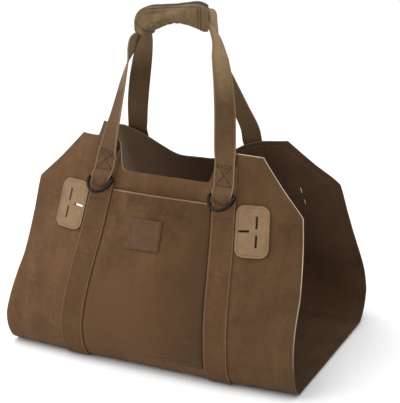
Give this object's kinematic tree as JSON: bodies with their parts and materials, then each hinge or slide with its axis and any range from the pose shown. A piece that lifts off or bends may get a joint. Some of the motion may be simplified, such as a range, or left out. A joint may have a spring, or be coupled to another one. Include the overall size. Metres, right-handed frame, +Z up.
{
  "type": "firewood bag",
  "caption": "Waxed canvas firewood bag, a folded sheet with open ends, sewn straps, a front pocket, slotted leather patches, D-rings and strap handles in one grip.",
  "frame": {"origin": "on the floor, under the middle of the bag", "axes": "+Z up to the grip, +X along the logs, the front wall with the pocket faces -Y"},
  "size_m": [0.45, 0.3219, 0.5069],
  "materials": {
    "canvas": "waxed, brown, scuffed",
    "strap": "waxed canvas strap, brown",
    "grip": "waxed canvas sleeve, olive tan",
    "patch_leather": "tan, smooth",
    "label_leather": "red brown, matt",
    "black_metal": "black, satin"
  },
  "bodies": {
    "bag": {"body_panel": "canvas", "pocket": "canvas", "label_patch": "label_leather", "strap_left": "strap", "strap_right": "strap", "handle_front": "strap", "handle_back": "strap", "grip_wrap": "grip", "lash_patch_front_left": "patch_leather", "lash_patch_front_right": "patch_leather", "lash_patch_back_left": "patch_leather", "lash_patch_back_right": "patch_leather"},
    "ring_front_left": {"d_ring_front_left": "black_metal"},
    "ring_front_right": {"d_ring_front_right": "black_metal"},
    "ring_back_left": {"d_ring_back_left": "black_metal"},
    "ring_back_right": {"d_ring_back_right": "black_metal"}
  },
  "joints": [
    {"name": "ring_front_left_swing", "type": "hinge", "parent": "bag", "child": "ring_front_left", "pos_m": [-0.09118, -0.09691, 0.26188], "axis": [-1, 0, 0], "range_deg": [-40, 110]},
    {"name": "ring_front_right_swing", "type": "hinge", "parent": "bag", "child": "ring_front_right", "pos_m": [0.09511, -0.09691, 0.26188], "axis": [-1, 0, 0], "range_deg": [-40, 110]},
    {"name": "ring_back_left_swing", "type": "hinge", "parent": "bag", "child": "ring_back_left", "pos_m": [-0.09061, 0.03144, 0.2686], "axis": [1, 0, 0], "range_deg": [-40, 110]},
    {"name": "ring_back_right_swing", "type": "hinge", "parent": "bag", "child": "ring_back_right", "pos_m": [0.09707, 0.03144, 0.2686], "axis": [1, 0, 0], "range_deg": [-40, 110]}
  ]
}
